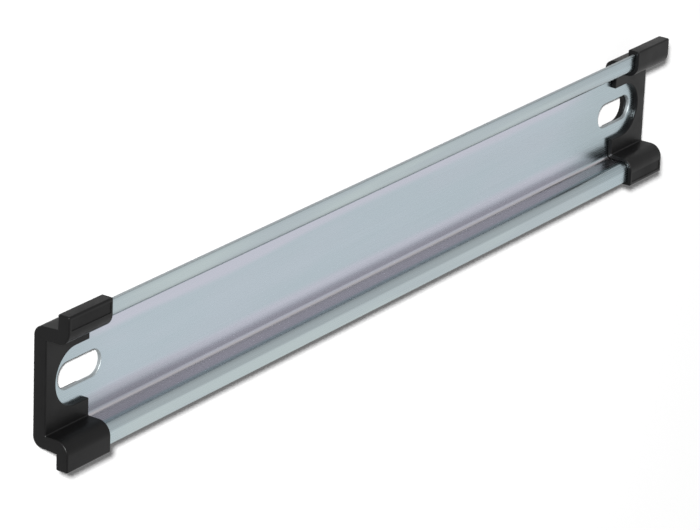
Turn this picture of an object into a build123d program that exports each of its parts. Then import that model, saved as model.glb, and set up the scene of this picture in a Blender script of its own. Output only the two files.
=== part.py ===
"""Slotted steel mounting rail of top-hat section with two moulded push-on end caps.

The rail lies on its back with its open side up. X runs along the rail, Y across
its width and Z up out of the open side. The origin is on the floor, below the
middle of the rail. All sizes are in millimetres and degrees.
"""

from build123d import *
import math
import os

os.makedirs("parts", exist_ok=True)

# Rail, rolled from one strip of sheet
RAIL_LENGTH = 250.0
RAIL_WIDTH = 35.0
RAIL_DEPTH = 7.5
HAT_WIDTH = 27.0
SHEET_THICKNESS = 1.0
BEND_INNER_RADIUS = 1.2
SLIT_EDGE_RADIUS = 0.2

# Fixing slots, one near each end of the web
SLOT_LENGTH = 15.5
SLOT_WIDTH = 6.5
SLOT_TO_RAIL_END = 12.25
SLOT_EDGE_RADIUS = 0.25

# End caps, two of the same moulding
CAP_LENGTH = 15.4
CAP_END_WALL = 1.2
CAP_PLATE_WALL = 1.25
CAP_HOOD_WALL = 1.1
CAP_LEG_WALL = 1.3
CAP_LEG_DRAFT = 3.5
CAP_CLEARANCE = 0.05
CAP_BACK_RADIUS = 2.5
CAP_LUG_EDGE_RADIUS = 0.45
CAP_END_EDGE_RADIUS = 0.4
CAP_CORNER_RADIUS = 0.3
CAP_EDGE_CHAMFER = 0.15

# Round-ended notches of the caps: a wide one in the front plate, which leaves the screw head
# free, and a narrow one in the back plate, which leaves its shank free
HEAD_NOTCH_RADIUS = 7.1
HEAD_NOTCH_SETBACK = 3.6
SHANK_NOTCH_RADIUS = 4.0

# Heights above the floor, which the backs of the caps stand on
web_back = CAP_PLATE_WALL + CAP_CLEARANCE
web_front = web_back + SHEET_THICKNESS
flange_front = web_back + RAIL_DEPTH
flange_back = flange_front - SHEET_THICKNESS
lug_back = flange_back - CAP_CLEARANCE - CAP_HOOD_WALL
plate_front = web_front + CAP_CLEARANCE + CAP_PLATE_WALL
cap_front = flange_front + CAP_CLEARANCE + CAP_HOOD_WALL

# Outside radius of the sheet's bends, and the same bend seen on the caps' hoods
bend_outer_radius = BEND_INNER_RADIUS + SHEET_THICKNESS
hood_radius = bend_outer_radius + CAP_CLEARANCE + CAP_HOOD_WALL

# Half widths, from the middle plane of the rail outwards
leg_outer = HAT_WIDTH / 2
leg_inner = leg_outer - SHEET_THICKNESS
cap_half_width = RAIL_WIDTH / 2 + CAP_CLEARANCE + CAP_HOOD_WALL
cap_leg_outer = leg_outer + CAP_CLEARANCE + CAP_LEG_WALL
cap_leg_inner = leg_inner - CAP_CLEARANCE - CAP_HOOD_WALL
cap_back_half_width = cap_leg_outer - lug_back * math.tan(math.radians(CAP_LEG_DRAFT))

# Stations along the rail, for the cap on the left
rail_end = -RAIL_LENGTH / 2
cap_end = rail_end - CAP_CLEARANCE - CAP_END_WALL
cap_mouth = cap_end + CAP_LENGTH
notch_centre = cap_end + HEAD_NOTCH_SETBACK + HEAD_NOTCH_RADIUS


def hat_face(right_half: list[tuple[float, float, float]]) -> Sketch:
    """Returns the face inside a hat-shaped outline.

    right_half holds the outline's corners, each as its distance from the middle plane, its height
    and its fillet radius, from the axis round the right side and back to the axis. A radius of 0
    leaves the corner sharp.
    """
    with BuildSketch() as face:
        with BuildLine():
            Polyline(*[(x, y) for x, y, _ in right_half])
            mirror(about=Plane.YZ)
        make_face()
        for x, y, radius in right_half:
            if radius > 0:
                corners = [face.vertices().sort_by_distance((side * x, y))[0] for side in (1, -1)]
                fillet(corners, radius)
    return face.sketch


# Section of the rail: web, two legs and two flanges of the same sheet
rail_face = hat_face([
    (0, web_back, 0),
    (leg_outer, web_back, bend_outer_radius),
    (leg_outer, flange_back, BEND_INNER_RADIUS),
    (RAIL_WIDTH / 2, flange_back, SLIT_EDGE_RADIUS),
    (RAIL_WIDTH / 2, flange_front, SLIT_EDGE_RADIUS),
    (leg_inner, flange_front, bend_outer_radius),
    (leg_inner, web_front, BEND_INNER_RADIUS),
    (0, web_front, 0),
])

# Rail: the section drawn out along X, with the two slots punched through the web from the front,
# which has rolled their front edges over
with BuildPart() as rail:
    with BuildSketch(Plane.YZ):
        add(rail_face)
    extrude(amount=RAIL_LENGTH / 2, both=True)
    slot_pitch = RAIL_LENGTH - 2 * SLOT_TO_RAIL_END
    with BuildSketch(Plane.XY.offset(web_front)):
        with GridLocations(slot_pitch, 0, 2, 1):
            SlotOverall(SLOT_LENGTH, SLOT_WIDTH)
    extrude(amount=-SHEET_THICKNESS, mode=Mode.SUBTRACT)
    slot_edges = rail.edges(Select.LAST).filter_by_position(Axis.Z, web_front, web_front)
    fillet(slot_edges, SLOT_EDGE_RADIUS)
rail.part.label = "rail"
export_step(rail.part, "parts/rail.step")

# Outer section of a cap: a plate on each side of the web and a hood round each flange
cap_face = hat_face([
    (0, 0, 0),
    (cap_back_half_width, 0, CAP_BACK_RADIUS),
    (cap_leg_outer, lug_back, 0),
    (cap_half_width, lug_back, CAP_LUG_EDGE_RADIUS),
    (cap_half_width, cap_front, CAP_LUG_EDGE_RADIUS),
    (cap_leg_inner, cap_front, hood_radius),
    (cap_leg_inner, plate_front, CAP_CORNER_RADIUS),
    (0, plate_front, 0),
])


def notch_face(radius: float) -> Sketch:
    """Returns the left cap's round-ended notch of the given radius, open at the cap's mouth."""
    with BuildSketch() as face:
        with Locations((notch_centre, 0)):
            Circle(radius)
            Rectangle(cap_mouth - notch_centre, 2 * radius, align=(Align.MIN, Align.CENTER))
    return face.sketch


# Left cap: closed end, a pocket that is the rail's own section with the clearance all round, and
# a notch through each plate up to the mouth, both round the same axis. The front notch and the
# mouth have their edges broken, so that the rail finds its way in.
with BuildPart() as end_cap_left:
    with BuildSketch(Plane.YZ.offset(cap_end)):
        add(cap_face)
    extrude(amount=CAP_LENGTH)
    fillet(end_cap_left.edges().group_by(Axis.X)[0], CAP_END_EDGE_RADIUS)
    with BuildSketch(Plane.YZ.offset(rail_end - CAP_CLEARANCE)):
        add(rail_face)
        offset(amount=CAP_CLEARANCE, kind=Kind.ARC)
    extrude(amount=CAP_LENGTH - CAP_END_WALL, mode=Mode.SUBTRACT)
    with BuildSketch(Plane.XY):
        add(notch_face(SHANK_NOTCH_RADIUS))
    extrude(amount=web_back, mode=Mode.SUBTRACT)
    with BuildSketch(Plane.XY.offset(web_front)):
        add(notch_face(HEAD_NOTCH_RADIUS))
    extrude(amount=plate_front - web_front, mode=Mode.SUBTRACT)
    front_edges = end_cap_left.edges(Select.LAST).filter_by_position(Axis.Z, plate_front, plate_front)
    chamfer(
        front_edges.filter_by_position(Axis.Y, -HEAD_NOTCH_RADIUS, HEAD_NOTCH_RADIUS), CAP_EDGE_CHAMFER
    )
    chamfer(end_cap_left.edges().group_by(Axis.X)[-1], CAP_EDGE_CHAMFER)
end_cap_left.part.label = "end_cap_left"
export_step(end_cap_left.part, "parts/end_cap_left.step")

# Right cap: the same moulding turned half round
with BuildPart() as end_cap_right:
    add(end_cap_left.part, rotation=(0, 0, 180))
end_cap_right.part.label = "end_cap_right"
export_step(end_cap_right.part, "parts/end_cap_right.step")
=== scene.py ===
"""Studio picture of a slotted top-hat rail with its two moulded end caps.

The rail lies on its back on a white floor with its open side up. X runs along the rail, Y across
it and Z up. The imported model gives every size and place, in metres. This script gives the pieces
their crisp edges and their finishes, sinks a shallow bare field into one hood of each cap, and
sets up the light and the camera.
"""

import logging
import math
from dataclasses import dataclass
from enum import Enum

import bpy
from mathutils import Matrix, Vector


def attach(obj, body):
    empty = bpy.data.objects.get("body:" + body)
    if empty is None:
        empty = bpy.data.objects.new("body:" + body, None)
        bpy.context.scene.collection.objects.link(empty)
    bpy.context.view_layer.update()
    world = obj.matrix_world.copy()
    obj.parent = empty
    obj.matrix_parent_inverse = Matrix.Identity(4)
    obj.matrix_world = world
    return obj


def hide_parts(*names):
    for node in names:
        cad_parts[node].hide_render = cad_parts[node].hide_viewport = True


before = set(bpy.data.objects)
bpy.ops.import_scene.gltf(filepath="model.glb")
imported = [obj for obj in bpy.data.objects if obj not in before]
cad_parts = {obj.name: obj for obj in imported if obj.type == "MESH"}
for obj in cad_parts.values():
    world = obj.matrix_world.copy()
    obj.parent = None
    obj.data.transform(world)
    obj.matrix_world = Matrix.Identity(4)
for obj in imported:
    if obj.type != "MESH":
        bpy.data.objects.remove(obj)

LOG = logging.getLogger("rail")
MM = 0.001

# Watts at which a point lamp without falloff lights a white face that is square to it as brightly
# as the strength of its nodes says
UNIT_WATTS = 4 * math.pi ** 2

# The range that most of a noise's values lie in, its finer patterns' share, and how far its seed
# shifts it along X, Y and Z
NOISE_RANGE = (0.3, 0.7)
NOISE_ROUGHNESS = 0.55
SEED_SHIFT = (1.0, 0.7, 0.3)

# A colour's red, green and blue, or a value for each of X, Y and Z
Triple = tuple[float, float, float]
# Where something starts and where it is full, or how strong it is at those two places
Ramp = tuple[float, float]
Socket = bpy.types.NodeSocket


class Slot(Enum):
    """The material slots of the record that the pieces take their finish from."""

    ZINC = "zinc_plated_steel"
    PLASTIC = "black_plastic"


class Hood(Enum):
    """A cap's two hoods, each by the side of the rail that it lies on along Y."""

    BACK = 1
    FRONT = -1


@dataclass(frozen=True)
class Grain:
    """Soft noise whose patches may be longer along one axis.

    Attributes:
        stretch: Patches for each metre along X, Y and Z.
        seed: Shifts the pattern, so that two grains differ.
        octaves: How many finer patterns lie on it.
    """

    stretch: Triple
    seed: float
    octaves: float = 2.0


class NodeSheet:
    """A node tree of a material, the world or a lamp, with short calls for what it needs."""

    def __init__(self, tree: bpy.types.NodeTree) -> None:
        """Empties the tree that is to be filled."""
        self.tree = tree
        self.tree.nodes.clear()

    def add(self, kind: str, **settings: object) -> bpy.types.Node:
        """Adds a node.

        Args:
            kind: Blender's name of the node's type.
            **settings: Properties of the node to set.

        Returns:
            The new node.
        """
        node = self.tree.nodes.new(kind)
        for name, value in settings.items():
            setattr(node, name, value)
        return node

    def link(self, source: Socket, target: Socket) -> None:
        """Joins an output to an input."""
        self.tree.links.new(source, target)

    def feed(self, target: Socket, value: float | Triple | Socket) -> None:
        """Sets an input to a number or colour, or joins it to an output.

        Args:
            target: The input socket.
            value: A number, a colour or an output socket.
        """
        if isinstance(value, Socket):
            self.link(value, target)
        elif isinstance(value, tuple):
            target.default_value = (*value, 1.0)
        else:
            target.default_value = value

    def maths(self, operation: str, *values: float | Socket) -> Socket:
        """Works out a sum, a maximum or another operation of one or more values.

        Args:
            operation: The Math node's operation.
            *values: Numbers or output sockets.

        Returns:
            The result's socket.
        """
        node = self.add("ShaderNodeMath", operation=operation)
        for socket, value in zip(node.inputs, values):
            self.feed(socket, value)
        return node.outputs[0]

    def product(self, first: Socket, *others: float | Socket) -> Socket:
        """Multiplies two or more values.

        Args:
            first: The first value's socket.
            *others: Numbers or output sockets.

        Returns:
            The product's socket.
        """
        total = first
        for other in others:
            total = self.maths("MULTIPLY", total, other)
        return total

    def spread(self, value: Socket, ramp: Ramp, to: Ramp = (0.0, 1.0)) -> Socket:
        """Maps a value from one range on to another, easing in and out, and holds it there.

        Args:
            value: The socket to map.
            ramp: The first range's start and end.
            to: The second range's start and end.

        Returns:
            The mapped value's socket.
        """
        node = self.add("ShaderNodeMapRange", interpolation_type="SMOOTHSTEP", clamp=True)
        for name, number in zip(("From Min", "From Max", "To Min", "To Max"), (*ramp, *to)):
            node.inputs[name].default_value = number
        self.link(value, node.inputs["Value"])
        return node.outputs["Result"]

    def blend(
        self, share: float | Socket, first: Triple | Socket, second: Triple | Socket
    ) -> Socket:
        """Mixes two colours.

        Args:
            share: The second colour's share.
            first: The first colour.
            second: The second colour.

        Returns:
            The mixed colour's socket.
        """
        node = self.add("ShaderNodeMix", data_type="RGBA")
        # The node has sockets of the same names for numbers and for colours, so they go by place
        self.feed(node.inputs[0], share)
        self.feed(node.inputs[6], first)
        self.feed(node.inputs[7], second)
        return node.outputs[2]

    def place(self) -> Socket:
        """The point's place on the object, in metres."""
        return self.add("ShaderNodeTexCoord").outputs["Object"]

    def axes(self, place: Socket) -> tuple[Socket, ...]:
        """Splits a place or a direction into its X, Y and Z.

        Args:
            place: The place's or direction's socket.

        Returns:
            The three sockets.
        """
        node = self.add("ShaderNodeSeparateXYZ")
        self.link(place, node.inputs[0])
        return tuple(node.outputs)

    def facing_up(self) -> Socket:
        """How far the surface faces up, from -1 to 1."""
        return self.axes(self.add("ShaderNodeTexCoord").outputs["Normal"])[2]

    def noise(self, place: Socket, grain: Grain) -> Socket:
        """Adds noise.

        Args:
            place: The place to read it at.
            grain: Its pattern.

        Returns:
            The noise's value, about 0.5 on average.
        """
        mapping = self.add("ShaderNodeMapping")
        mapping.inputs["Scale"].default_value = grain.stretch
        mapping.inputs["Location"].default_value = tuple(grain.seed * part for part in SEED_SHIFT)
        self.link(place, mapping.inputs["Vector"])
        node = self.add("ShaderNodeTexNoise", noise_dimensions="3D")
        node.inputs["Scale"].default_value = 1.0
        node.inputs["Detail"].default_value = grain.octaves
        node.inputs["Roughness"].default_value = NOISE_ROUGHNESS
        self.link(mapping.outputs[0], node.inputs["Vector"])
        return node.outputs["Fac"]

    def bump(self, height: Socket, depth: float, below: Socket | None = None) -> Socket:
        """Makes a normal from a height.

        Args:
            height: The height, from 0 to 1.
            depth: How deep a height of 1 is, in metres.
            below: The normal of a coarser bump under this one.

        Returns:
            The normal's socket.
        """
        node = self.add("ShaderNodeBump")
        node.inputs["Strength"].default_value = 1.0
        node.inputs["Distance"].default_value = depth
        self.link(height, node.inputs["Height"])
        if below is not None:
            self.link(below, node.inputs["Normal"])
        return node.outputs["Normal"]

    def shown_directly(self) -> Socket:
        """Marks what is seen itself, and not by the light that it throws on to something.

        Returns:
            1 for rays from the camera, off gloss or through glass, and 0 for all others.
        """
        path = self.add("ShaderNodeLightPath")
        gloss_or_glass = self.maths(
            "MAXIMUM", path.outputs["Is Glossy Ray"], path.outputs["Is Transmission Ray"]
        )
        return self.maths("MAXIMUM", path.outputs["Is Camera Ray"], gloss_or_glass)

    def principled(self, colour: Socket, roughness: Socket, normal: Socket) -> bpy.types.Node:
        """Adds the shader of a solid surface.

        Args:
            colour: The surface's colour.
            roughness: How rough it is.
            normal: Where its fine relief faces.

        Returns:
            The shader's node.
        """
        shader = self.add("ShaderNodeBsdfPrincipled")
        self.link(colour, shader.inputs["Base Color"])
        self.link(roughness, shader.inputs["Roughness"])
        self.link(normal, shader.inputs["Normal"])
        return shader

    def show(self, shader: bpy.types.Node, kind: str = "ShaderNodeOutputMaterial") -> None:
        """Joins a shader to a new output node of the given type."""
        self.link(shader.outputs[0], self.add(kind).inputs["Surface"])


def new_material(name: str) -> tuple[bpy.types.Material, NodeSheet]:
    """Starts a material.

    Args:
        name: Its name.

    Returns:
        The material and its empty sheet.
    """
    material = bpy.data.materials.new(name)
    material.use_nodes = True
    return material, NodeSheet(material.node_tree)


@dataclass(frozen=True)
class ZincFinish:
    """Bright zinc with a blue passivation film, on cold rolled sheet.

    The film is blue grey on the web, lilac in bands towards the bends, straw at the foot of the
    legs and greener on the flanges. It is darker at the rail's ends. Painted shade darkens the web
    along the bend towards -Y near the left cap, and the bend of the flange towards -Y. The rolling
    has left a faint grain along the rail, and the slit edges and the edges and walls of the slots
    are duller.

    Attributes:
        blue_grey: The film's colour on the web.
        lilac: Its colour in the bands.
        straw: Its colour at the foot of the legs.
        rose_grey: Its colour higher up the legs.
        green_grey: Its colour on the paler stretches of the flanges.
        slate_and_bend_shade: Its colour on the darker stretches of the flanges, and the painted
            shade along the bend towards -Y.
        end_grey: Its colour at the rail's ends.
        painted_fold_shade: Painted shade on the web along the bend towards -Y, near the left cap.
        rim_grey: Its shade on the outside of the flange towards +Y.
        cut_grey: The colour of the slit and punched edges.
        back_band: Where the band towards +Y starts and is full, across the rail.
        front_band: The same for the band towards -Y.
        drift: Moves the bands' edges in and out.
        drift_reach: How far it moves them to either side.
        widening: How much wider the band towards +Y is at the left.
        widening_along: Where it starts and has ceased to be wider, along the rail.
        patches: Faint lilac patches between the bands.
        patch_ramp: The noise's values at which a patch starts and is full.
        patch_share: The share of lilac in a full patch.
        pale_middle: The middle of the stretch between the darker ends.
        end_ramp: How far from there the ends start to darken and are darkest.
        painted_fold_along: Where the painted shade along the fold starts and is full, along the
            rail.
        painted_fold_across: The same across the rail.
        painted_fold_share: The painted shade's share where it is full.
        leg_foot: The height at which the film of the legs starts and is full.
        leg_rise: The height at which straw gives way to rose grey.
        flange_rise: The height at which the film of the legs gives way to the flanges'.
        stretches: The paler and darker stretches of the flanges.
        stretch_ramp: The noise's values at which a darker stretch starts and is full.
        painted_bend_band: The band of painted shade along the bend of the flange towards -Y.
        painted_bend_share: The share of slate in it.
        outer_along: Where the flange's outside darkens towards the right cap, along the rail.
        outer_across: The same across the rail.
        outer_share: The shade's share where it is full.
        rim_along: Where the rim's shade grows, along the rail.
        rim_across: Where the rim starts and is full, across the rail.
        rim_share: The rim shade's share at the start and the end of rim_along.
        slit: How far from the rail's middle plane its slit edges start and are full.
        slot_edge: How far a slot's edge faces up where it starts to be duller and is dullest.
        slot_reach: Half the slots' width, with some room.
        roughness: How rough the zinc is, at its least and its most.
        cut_dulling: How much rougher the cut edges are.
        wave: The sheet's gentle unevenness.
        wave_depth: How deep it is.
        streaks: The grain of the rolling.
        streak_depth: How deep it is.
        torn: The torn skin of the cut edges.
        torn_depth: How deep it is.
        torn_shade: How bright the torn skin is at its darkest.
    """

    blue_grey: Triple = (0.432, 0.508, 0.556)
    lilac: Triple = (0.515, 0.530, 0.605)
    straw: Triple = (0.582, 0.560, 0.588)
    rose_grey: Triple = (0.572, 0.545, 0.585)
    green_grey: Triple = (0.462, 0.532, 0.543)
    slate_and_bend_shade: Triple = (0.424, 0.486, 0.513)
    end_grey: Triple = (0.400, 0.478, 0.512)
    painted_fold_shade: Triple = (0.310, 0.322, 0.360)
    rim_grey: Triple = (0.350, 0.412, 0.440)
    cut_grey: Triple = (0.430, 0.470, 0.485)
    back_band: Ramp = (6.6 * MM, 8.4 * MM)
    front_band: Ramp = (-6.2 * MM, -8.4 * MM)
    drift: Grain = Grain((14.0, 60.0, 60.0), 3.1)
    drift_reach: float = 1.2 * MM
    widening: float = 1.2 * MM
    widening_along: Ramp = (-60 * MM, 10 * MM)
    patches: Grain = Grain((25.0, 110.0, 110.0), 8.0)
    patch_ramp: Ramp = (0.35, 0.7)
    patch_share: float = 0.2
    pale_middle: float = -8 * MM
    end_ramp: Ramp = (90 * MM, 114 * MM)
    painted_fold_along: Ramp = (-55 * MM, -100 * MM)
    painted_fold_across: Ramp = (-6.8 * MM, -8.4 * MM)
    painted_fold_share: float = 0.42
    leg_foot: Ramp = (2.35 * MM, 2.7 * MM)
    leg_rise: Ramp = (3.6 * MM, 5.6 * MM)
    flange_rise: Ramp = (5.8 * MM, 6.9 * MM)
    stretches: Grain = Grain((16.0, 150.0, 60.0), 5.5)
    stretch_ramp: Ramp = (0.38, 0.62)
    painted_bend_band: Ramp = (-14.9 * MM, -14.3 * MM)
    painted_bend_share: float = 0.7
    outer_along: Ramp = (45 * MM, 75 * MM)
    outer_across: Ramp = (15.0 * MM, 16.0 * MM)
    outer_share: float = 0.6
    rim_along: Ramp = (20 * MM, 90 * MM)
    rim_across: Ramp = (16.2 * MM, 17.4 * MM)
    rim_share: Ramp = (0.45, 0.9)
    slit: Ramp = (17.47 * MM, 17.495 * MM)
    slot_edge: Ramp = (0.99, 0.8)
    slot_reach: float = 4.0 * MM
    roughness: Ramp = (0.22, 0.29)
    cut_dulling: float = 0.35
    wave: Grain = Grain((120.0, 420.0, 420.0), 5.0, 1.0)
    wave_depth: float = 0.002 * MM
    streaks: Grain = Grain((30.0, 9000.0, 9000.0), 1.7, 3.0)
    streak_depth: float = 0.0006 * MM
    torn: Grain = Grain((2600.0, 2600.0, 500.0), 4.4, 3.0)
    torn_depth: float = 0.02 * MM
    torn_shade: float = 0.8

    def near_end(self, sheet: NodeSheet, along: Socket) -> Socket:
        """Marks the rail's ends, where the film is darker, with 1 and its middle with 0."""
        from_middle = sheet.maths("ABSOLUTE", sheet.maths("SUBTRACT", along, self.pale_middle))
        return sheet.spread(from_middle, self.end_ramp)

    def web_film(self, sheet: NodeSheet, place: Socket) -> Socket:
        """Colours the film on the web, with painted shade along the bend towards -Y near the left
        cap.

        Args:
            sheet: The material's nodes.
            place: The point's place on the rail.

        Returns:
            The colour's socket.
        """
        along, across, _ = sheet.axes(place)
        drift = sheet.maths(
            "MULTIPLY_ADD", sheet.noise(place, self.drift), 2 * self.drift_reach, -self.drift_reach
        )
        drifting = sheet.maths("ADD", across, drift)
        wider = sheet.spread(along, self.widening_along, (self.widening, 0.0))
        in_back_band = sheet.spread(sheet.maths("ADD", drifting, wider), self.back_band)
        in_front_band = sheet.spread(drifting, self.front_band)
        patches = sheet.spread(sheet.noise(place, self.patches), self.patch_ramp)
        web = sheet.blend(sheet.product(patches, self.patch_share), self.blue_grey, self.lilac)
        web = sheet.blend(sheet.maths("MAXIMUM", in_back_band, in_front_band), web, self.lilac)
        web = sheet.blend(self.near_end(sheet, along), web, self.end_grey)
        # Painted shade on the web along the bend towards -Y, near the left cap
        painted_shade_by_left_cap = sheet.spread(along, self.painted_fold_along, (0.0, self.painted_fold_share))
        painted_fold_mask = sheet.product(painted_shade_by_left_cap, sheet.spread(across, self.painted_fold_across))
        return sheet.blend(painted_fold_mask, web, self.painted_fold_shade)

    def flange_film(self, sheet: NodeSheet, place: Socket) -> Socket:
        """Colours the film on the flanges, with painted shade along the bend towards -Y.

        Args:
            sheet: The material's nodes.
            place: The point's place on the rail.

        Returns:
            The colour's socket.
        """
        along, across, _ = sheet.axes(place)
        stretches = sheet.spread(sheet.noise(place, self.stretches), self.stretch_ramp)
        flange = sheet.blend(stretches, self.green_grey, self.slate_and_bend_shade)
        front_side = sheet.maths("LESS_THAN", across, 0.0)
        # Painted shade along the bend of the flange towards -Y
        painted_bend_mask = sheet.product(sheet.spread(across, self.painted_bend_band), front_side, self.painted_bend_share)
        flange = sheet.blend(painted_bend_mask, flange, self.slate_and_bend_shade)
        flange = sheet.blend(self.near_end(sheet, along), flange, self.end_grey)
        by_right_cap = sheet.spread(along, self.outer_along, (0.0, self.outer_share))
        outside = sheet.product(by_right_cap, sheet.spread(across, self.outer_across))
        flange = sheet.blend(outside, flange, self.rim_grey)
        along_rim = sheet.spread(along, self.rim_along, self.rim_share)
        rim = sheet.product(along_rim, sheet.spread(across, self.rim_across))
        return sheet.blend(rim, flange, self.rim_grey)

    def film(self, sheet: NodeSheet, place: Socket) -> Socket:
        """Colours the film by height: the web at the foot, then the legs, then the flanges.

        Args:
            sheet: The material's nodes.
            place: The point's place on the rail.

        Returns:
            The colour's socket.
        """
        height = sheet.axes(place)[2]
        leg = sheet.blend(sheet.spread(height, self.leg_rise), self.straw, self.rose_grey)
        lower = sheet.blend(sheet.spread(height, self.leg_foot), self.web_film(sheet, place), leg)
        upper = self.flange_film(sheet, place)
        return sheet.blend(sheet.spread(height, self.flange_rise), lower, upper)

    def cut(self, sheet: NodeSheet, place: Socket) -> Socket:
        """Marks the slit edges, and the edges and walls of the slots.

        Args:
            sheet: The material's nodes.
            place: The point's place on the rail.

        Returns:
            1 on the cut edges and 0 elsewhere.
        """
        off_middle = sheet.maths("ABSOLUTE", sheet.axes(place)[1])
        on_edge = sheet.spread(sheet.maths("ABSOLUTE", sheet.facing_up()), self.slot_edge)
        in_slot = sheet.maths("LESS_THAN", off_middle, self.slot_reach)
        punched = sheet.product(on_edge, in_slot)
        return sheet.maths("MAXIMUM", sheet.spread(off_middle, self.slit), punched)

    def material(self) -> bpy.types.Material:
        """Builds the material.

        Returns:
            The material.
        """
        material, sheet = new_material("zinc_blue_passivated")
        place = sheet.place()
        cut = self.cut(sheet, place)
        torn = sheet.noise(place, self.torn)
        torn_grey = tuple(channel * self.torn_shade for channel in self.cut_grey)
        cut_colour = sheet.blend(torn, self.cut_grey, torn_grey)
        colour = sheet.blend(cut, self.film(sheet, place), cut_colour)
        streaks = sheet.noise(place, self.streaks)
        satin = sheet.spread(streaks, NOISE_RANGE, self.roughness)
        roughness = sheet.maths("ADD", satin, sheet.product(cut, self.cut_dulling))
        normal = sheet.bump(sheet.noise(place, self.wave), self.wave_depth)
        normal = sheet.bump(streaks, self.streak_depth, normal)
        normal = sheet.bump(sheet.product(torn, cut), self.torn_depth, normal)
        shader = sheet.principled(colour, roughness, normal)
        shader.inputs["Metallic"].default_value = 1.0
        sheet.show(shader)
        return material


@dataclass(frozen=True)
class PlasticFinish:
    """Black moulded plastic with a fine spark-eroded skin, duller in the hoods' sunk fields.

    Attributes:
        black: The plastic's colour.
        pale_gain: How much paler its palest clouds are.
        specular: How strong its gloss is.
        roughness: How rough it is, at its least and its most.
        cloud: The noise that its colour and gloss follow.
        skin: The fine relief of the mould.
        skin_depth: How deep it is.
        field_height: The height that the sunk fields lie at.
        field_ramp: How far from that height a field starts and is full.
        field_level: How far a field faces up where it starts and is full.
        field_dulling: How much rougher the fields are.
    """

    black: Triple = (0.0022, 0.0022, 0.0023)
    pale_gain: float = 1.5
    specular: float = 0.19
    roughness: Ramp = (0.36, 0.46)
    cloud: Grain = Grain((160.0, 160.0, 160.0), 6.0, 3.0)
    skin: Grain = Grain((5200.0, 5200.0, 5200.0), 2.0, 3.0)
    skin_depth: float = 0.006 * MM
    field_height: float = 9.8 * MM
    field_ramp: Ramp = (0.1 * MM, 0.05 * MM)
    field_level: Ramp = (0.995, 0.999)
    field_dulling: float = 0.14

    def in_field(self, sheet: NodeSheet, place: Socket) -> Socket:
        """Marks the sunk fields of the hoods.

        Args:
            sheet: The material's nodes.
            place: The point's place on the cap.

        Returns:
            1 in the fields and 0 elsewhere.
        """
        off_field = sheet.maths("SUBTRACT", sheet.axes(place)[2], self.field_height)
        at_height = sheet.spread(sheet.maths("ABSOLUTE", off_field), self.field_ramp)
        return sheet.product(at_height, sheet.spread(sheet.facing_up(), self.field_level))

    def material(self) -> bpy.types.Material:
        """Builds the material.

        Returns:
            The material.
        """
        material, sheet = new_material("black_moulding")
        place = sheet.place()
        cloud = sheet.noise(place, self.cloud)
        palest = tuple(channel * self.pale_gain for channel in self.black)
        colour = sheet.blend(cloud, self.black, palest)
        satin = sheet.spread(cloud, NOISE_RANGE, self.roughness)
        dulled = sheet.product(self.in_field(sheet, place), self.field_dulling)
        roughness = sheet.maths("ADD", satin, dulled)
        normal = sheet.bump(sheet.noise(place, self.skin), self.skin_depth)
        shader = sheet.principled(colour, roughness, normal)
        shader.inputs["Specular IOR Level"].default_value = self.specular
        sheet.show(shader)
        return material


@dataclass(frozen=True)
class FloorFinish:
    """White studio floor, which keeps the object's shadow.

    Attributes:
        white: The floor's colour as it is seen.
        in_gloss: Its colour as the object's gloss shows it.
        onto_object: Its colour for the light that it throws back on to the object.
        lift: How strongly it glows where it is seen, near the object and far from it, where the
            lamp's light falls flat, so that the open floor comes out white.
        lift_reach: How far from the middle the glow starts to grow and is full, in metres.
    """

    white: Triple = (0.95, 0.95, 0.95)
    in_gloss: Triple = (0.65, 0.65, 0.65)
    onto_object: Triple = (0.25, 0.25, 0.25)
    lift: Ramp = (0.08, 0.8)
    lift_reach: Ramp = (0.18, 1.2)

    def material(self) -> bpy.types.Material:
        """Builds the material.

        Returns:
            The material.
        """
        material, sheet = new_material("studio_floor")
        shown = sheet.shown_directly()
        colour = sheet.blend(shown, self.onto_object, self.white)
        glossy = sheet.add("ShaderNodeLightPath").outputs["Is Glossy Ray"]
        diffuse = sheet.add("ShaderNodeBsdfDiffuse")
        sheet.link(sheet.blend(glossy, colour, self.in_gloss), diffuse.inputs["Color"])
        distance = sheet.add("ShaderNodeVectorMath", operation="LENGTH")
        sheet.link(sheet.place(), distance.inputs[0])
        lift = sheet.spread(distance.outputs["Value"], self.lift_reach, self.lift)
        glow = sheet.add("ShaderNodeEmission")
        sheet.link(sheet.product(shown, lift), glow.inputs["Strength"])
        both = sheet.add("ShaderNodeAddShader")
        sheet.link(diffuse.outputs[0], both.inputs[0])
        sheet.link(glow.outputs[0], both.inputs[1])
        sheet.show(both)
        return material


@dataclass(frozen=True)
class HoodField:
    """Shallow bare field that is sunk into the flat front of one of a cap's hoods.

    Attributes:
        hood: The hood that has it.
        border: The rim left around it.
        slope: How wide its sloping wall is.
        depth: How deep it lies.
        front_depth: Faces less than this below the cap's top are its front.
        front_facing: How far a face of the front faces up at least.
    """

    hood: Hood
    border: float = 0.45 * MM
    slope: float = 0.06 * MM
    depth: float = 0.15 * MM
    front_depth: float = 0.01 * MM
    front_facing: float = 0.999

    def sink(self, piece: bpy.types.Object) -> None:
        """Sinks the field into the largest flat face of the hood's front.

        Args:
            piece: The cap, in edit mode. It stays so, with all of it selected.
        """
        bpy.ops.mesh.select_mode(type="FACE")
        bpy.ops.mesh.select_all(action="DESELECT")
        bpy.ops.object.mode_set(mode="OBJECT")
        top = max(vertex.co.z for vertex in piece.data.vertices)
        flats = [
            face for face in piece.data.polygons
            if face.normal.z > self.front_facing and top - face.center.z < self.front_depth
            and face.center.y * self.hood.value > 0
        ]
        max(flats, key=lambda face: face.area).select = True
        bpy.ops.object.mode_set(mode="EDIT")
        bpy.ops.mesh.inset(thickness=self.border, depth=0.0)
        bpy.ops.mesh.inset(thickness=self.slope, depth=-self.depth)
        bpy.ops.mesh.select_all(action="SELECT")


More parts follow.
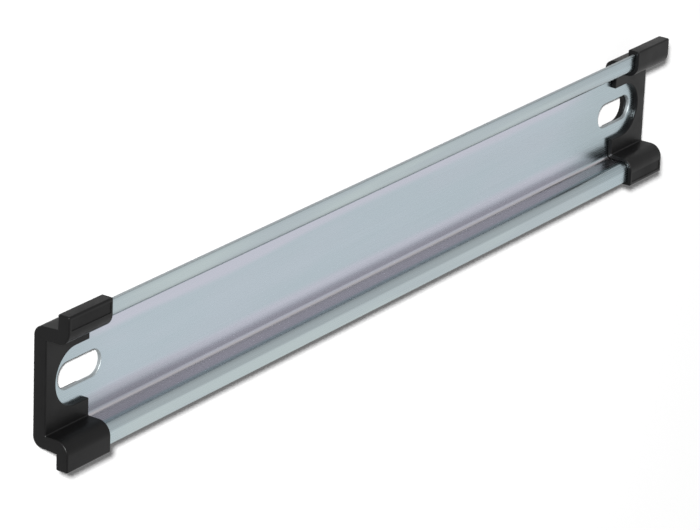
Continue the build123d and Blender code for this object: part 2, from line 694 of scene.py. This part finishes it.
@dataclass
class DressedNode:
    """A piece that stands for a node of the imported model, with its flat faces made whole.

    Attributes:
        node: The node's name.
        name: The piece's name.
        slot: The record's slot that the piece takes its finish from.
        field: The field that is sunk into a cap's hood, or None for a piece without one.
        merge_below: Corners nearer than this to each other become one.
        flat_below: Faces that turn by less than this many degrees become one.
        smooth_below: Edges that turn by less than this many degrees are shaded smooth.
    """

    node: str
    name: str
    slot: Slot
    field: HoodField | None = None
    merge_below: float = 0.001 * MM
    flat_below: float = 0.5
    smooth_below: float = 25.0

    def build(self) -> bpy.types.Object:
        """Copies the node and makes its surface one closed skin of whole faces.

        Returns:
            The new piece.
        """
        bpy.ops.object.select_all(action="DESELECT")
        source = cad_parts[self.node]
        piece = bpy.data.objects.new(self.name, source.data.copy())
        bpy.context.scene.collection.objects.link(piece)
        piece.select_set(True)
        bpy.context.view_layer.objects.active = piece
        bpy.ops.mesh.customdata_custom_splitnormals_clear()
        bpy.ops.object.mode_set(mode="EDIT")
        bpy.ops.mesh.select_all(action="SELECT")
        bpy.ops.mesh.remove_doubles(threshold=self.merge_below)
        bpy.ops.mesh.dissolve_limited(angle_limit=math.radians(self.flat_below))
        if self.field is not None:
            self.field.sink(piece)
        bpy.ops.object.mode_set(mode="OBJECT")
        bpy.ops.object.shade_smooth_by_angle(angle=math.radians(self.smooth_below))
        return piece

    def dress(self, piece: bpy.types.Object, material: bpy.types.Material) -> None:
        """Gives the piece its finish and ties it to the frame.

        Args:
            piece: The piece from build.
            material: The finish.
        """
        piece.data.materials.clear()
        piece.data.materials.append(material)
        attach(piece, "root")
        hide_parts(self.node)


@dataclass
class Studio:
    """White floor, white surroundings and one soft lamp.

    Attributes:
        lamp_place: Where the lamp hangs, in metres from the middle of the rail.
        lamp_strength: How bright it makes a white face that is square to it.
        lamp_radius: The lamp's radius in metres.
        lamp_bounces: How many reflections its light is followed through. More leave bright
            specks in the corners of the bright sheet.
        fill: How strongly the surroundings light what isn't glossy.
        walls: How bright gloss sees the surroundings towards -Y and +Y.
        wall_turn: How far a direction points along Y where the first ends and the second begins.
        left_wall: The share of that brightness beyond the rail's left end.
        left_turn: How far a direction points along X where it starts and has its full effect.
        sky: The share of that brightness at the horizon and high up.
        sky_turn: How far a direction points up where the first ends and the second begins.
        floor_half: Half the floor's side.
        floor_gap: How far the floor lies below the caps' backs, so that no faces coincide.
    """

    lamp_place: Triple = (-1.147, 0.633, 0.719)
    lamp_strength: float = 2.0
    lamp_radius: float = 0.06
    lamp_bounces: int = 1
    fill: float = 0.10
    walls: Ramp = (1.0, 0.74)
    wall_turn: Ramp = (-0.30, -0.15)
    left_wall: float = 0.55
    left_turn: Ramp = (-0.1, -0.5)
    sky: Ramp = (0.8, 1.06)
    sky_turn: Ramp = (0.10, 0.62)
    floor_half: float = 3.0
    floor_gap: float = 0.02 * MM

    def floor(self) -> None:
        """Lays the floor that the caps' backs rest on."""
        bpy.ops.object.select_all(action="DESELECT")
        bpy.ops.mesh.primitive_plane_add(size=2 * self.floor_half, location=(0, 0, -self.floor_gap))
        floor = bpy.context.object
        floor.name = "studio_floor"
        floor.data.materials.append(FloorFinish().material())

    def surroundings(self) -> None:
        """Fills the world with white, dimmer for gloss on the sides that stand in shade."""
        world = bpy.data.worlds.new("studio")
        bpy.context.scene.world = world
        world.use_nodes = True
        sheet = NodeSheet(world.node_tree)
        direction = sheet.add("ShaderNodeTexCoord").outputs["Generated"]
        along, across, height = sheet.axes(direction)
        walls = sheet.spread(across, self.wall_turn, self.walls)
        left = sheet.spread(along, self.left_turn, (1.0, self.left_wall))
        sky = sheet.spread(height, self.sky_turn, self.sky)
        path = sheet.add("ShaderNodeLightPath")
        to_gloss = sheet.product(path.outputs["Is Glossy Ray"], walls, left, sky)
        to_eye = sheet.maths(
            "MAXIMUM", path.outputs["Is Camera Ray"], path.outputs["Is Transmission Ray"]
        )
        to_rest = sheet.product(sheet.maths("SUBTRACT", 1.0, sheet.shown_directly()), self.fill)
        background = sheet.add("ShaderNodeBackground")
        background.inputs["Color"].default_value = (1.0, 1.0, 1.0, 1.0)
        strength = sheet.maths("MAXIMUM", sheet.maths("MAXIMUM", to_eye, to_gloss), to_rest)
        sheet.link(strength, background.inputs["Strength"])
        sheet.show(background, "ShaderNodeOutputWorld")

    def lamp(self) -> None:
        """Hangs the lamp, whose light doesn't fall off along the rail."""
        light = bpy.data.lights.new("soft_lamp", "POINT")
        light.shadow_soft_size = self.lamp_radius
        light.energy = UNIT_WATTS
        light.cycles.max_bounces = self.lamp_bounces
        light.use_nodes = True
        sheet = NodeSheet(light.node_tree)
        falloff = sheet.add("ShaderNodeLightFalloff")
        falloff.inputs["Strength"].default_value = self.lamp_strength
        emission = sheet.add("ShaderNodeEmission")
        sheet.link(falloff.outputs["Constant"], emission.inputs["Strength"])
        sheet.show(emission, "ShaderNodeOutputLight")
        lamp = bpy.data.objects.new("soft_lamp", light)
        bpy.context.scene.collection.objects.link(lamp)
        lamp.location = self.lamp_place

    def build(self) -> None:
        """Sets up the floor, the surroundings and the lamp."""
        self.floor()
        self.surroundings()
        self.lamp()


@dataclass
class PhotoCamera:
    """The photograph's camera: far off, with a long lens.

    Its place, directions and focal length come from a fit of the rail's known sizes to the
    photograph.

    Attributes:
        place: Where the camera stands.
        forward: The direction that it looks in.
        up: The direction of the picture's upper side.
        focal_pixels: The focal length, in pixels of the picture.
        picture_width: The picture's width in pixels.
        sensor_width: The width of Blender's sensor, in millimetres.
    """

    place: Vector
    forward: Vector
    up: Vector
    focal_pixels: float
    picture_width: float = 700.0
    sensor_width: float = 36.0

    def build(self) -> None:
        """Sets up the camera and makes it the scene's own."""
        data = bpy.data.cameras.new("photo_camera")
        data.sensor_width = self.sensor_width
        data.lens = self.focal_pixels / self.picture_width * self.sensor_width
        camera = bpy.data.objects.new("photo_camera", data)
        bpy.context.scene.collection.objects.link(camera)
        back = -self.forward.normalized()
        right = self.up.cross(back).normalized()
        upright = back.cross(right)
        turned = Matrix((right, upright, back)).transposed()
        camera.matrix_world = Matrix.Translation(self.place) @ turned.to_4x4()
        bpy.context.scene.camera = camera


def main() -> None:
    """Builds the pieces, the studio and the camera."""
    logging.basicConfig(level=logging.INFO, format="%(message)s")
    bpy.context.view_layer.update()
    finishes = {Slot.ZINC: ZincFinish().material(), Slot.PLASTIC: PlasticFinish().material()}
    for dressed in (
        DressedNode("rail", "rail_sheet", Slot.ZINC),
        DressedNode("end_cap_left", "cap_moulding_left", Slot.PLASTIC, HoodField(Hood.BACK)),
        DressedNode("end_cap_right", "cap_moulding_right", Slot.PLASTIC, HoodField(Hood.FRONT)),
    ):
        piece = dressed.build()
        dressed.dress(piece, finishes[dressed.slot])
        LOG.info("%s: %d faces", piece.name, len(piece.data.polygons))
    Studio().build()
    PhotoCamera(
        place=Vector((-0.78079, 0.36409, 0.52715)),
        forward=Vector((0.76891, -0.36909, -0.52206)),
        up=Vector((0.2818, 0.9286, -0.2414)),
        focal_pixels=4159.05,
    ).build()
    bpy.context.scene.view_settings.view_transform = "Standard"


if __name__ == "__main__":
    main()
